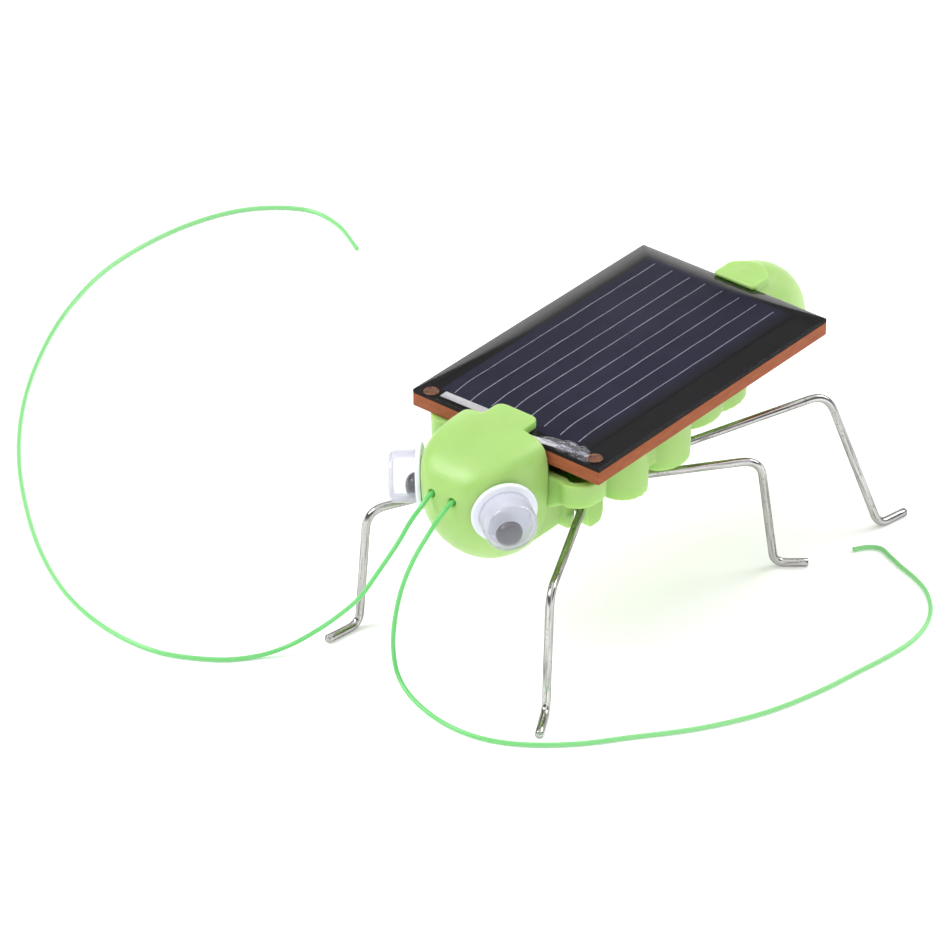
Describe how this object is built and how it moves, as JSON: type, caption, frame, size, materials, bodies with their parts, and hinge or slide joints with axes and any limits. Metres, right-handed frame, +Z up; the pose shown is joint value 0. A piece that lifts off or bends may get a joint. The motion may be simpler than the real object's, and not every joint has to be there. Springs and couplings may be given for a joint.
{
  "type": "solar powered insect toy",
  "caption": "Solar powered toy insect: a small panel clipped on a green plastic body with bent steel wire legs, domed eyes, a hidden vibration motor and long thin wire antennae.",
  "frame": {"origin": "bottom centre of the insect's box without its two antennae: the middle between the feet, on the surface that it stands on", "axes": "+Z up, -Y towards the head, +X towards the insect's own left side"},
  "size_m": [0.1053, 0.0724, 0.0236],
  "materials": {
    "green_plastic": "satin lime green moulding",
    "panel_board": "brown phenolic board, dull edges",
    "solar_cell": "blue-black silicon with silver lines",
    "panel_resin": "clear glossy resin",
    "tinned_ribbon": "tinned, satin",
    "copper": "copper, slightly dull",
    "steel_wire": "drawn steel wire, bright",
    "steel": "drawn can, satin",
    "brass": "cut block, satin",
    "magnet": "sintered magnet, dull",
    "white_plastic": "glossy white",
    "clear_plastic": "clear moulded dome",
    "black_plastic": "glossy black",
    "solder": "bright solder",
    "red_insulation": "wire insulation",
    "blue_insulation": "wire insulation",
    "green_wire": "bright green insulated wire, glossy"
  },
  "bodies": {
    "insect": {"body_frame": "green_plastic", "head_shell": "green_plastic", "panel_board": "panel_board", "solar_cell": "solar_cell", "panel_resin": "panel_resin", "motor_can": "steel", "motor_end_cap": "white_plastic", "motor_magnet": "magnet", "lead_red": "red_insulation", "lead_blue": "blue_insulation", "leg_wire_front": "steel_wire", "leg_wire_middle": "steel_wire", "leg_wire_rear": "steel_wire", "antenna_left": "green_wire", "antenna_right": "green_wire", "cell_ribbon_left": "tinned_ribbon", "copper_pad_left": "copper", "eye_base_left": "white_plastic", "eye_dome_left": "clear_plastic", "solder_joint_left": "solder", "cell_ribbon_right": "tinned_ribbon", "copper_pad_right": "copper", "eye_base_right": "white_plastic", "eye_dome_right": "clear_plastic", "solder_joint_right": "solder"},
    "motor_spinner": {"motor_shaft": "steel", "motor_coil": "copper", "eccentric_weight": "brass"},
    "eye_pupil_left": {"pupil_left": "black_plastic"},
    "eye_pupil_right": {"pupil_right": "black_plastic"}
  },
  "joints": [
    {"name": "motor_spin", "type": "hinge", "parent": "insect", "child": "motor_spinner", "pos_m": [0, 0, 0.01795], "axis": [0, 1, 0], "continuous": true},
    {"name": "pupil_left_swing", "type": "hinge", "parent": "insect", "child": "eye_pupil_left", "pos_m": [0.00515, -0.02235, 0.0185], "axis": [0.8132, -0.5789, -0.0601], "continuous": true},
    {"name": "pupil_right_swing", "type": "hinge", "parent": "insect", "child": "eye_pupil_right", "pos_m": [-0.00515, -0.02235, 0.0185], "axis": [-0.8132, -0.5789, -0.0601], "continuous": true}
  ]
}
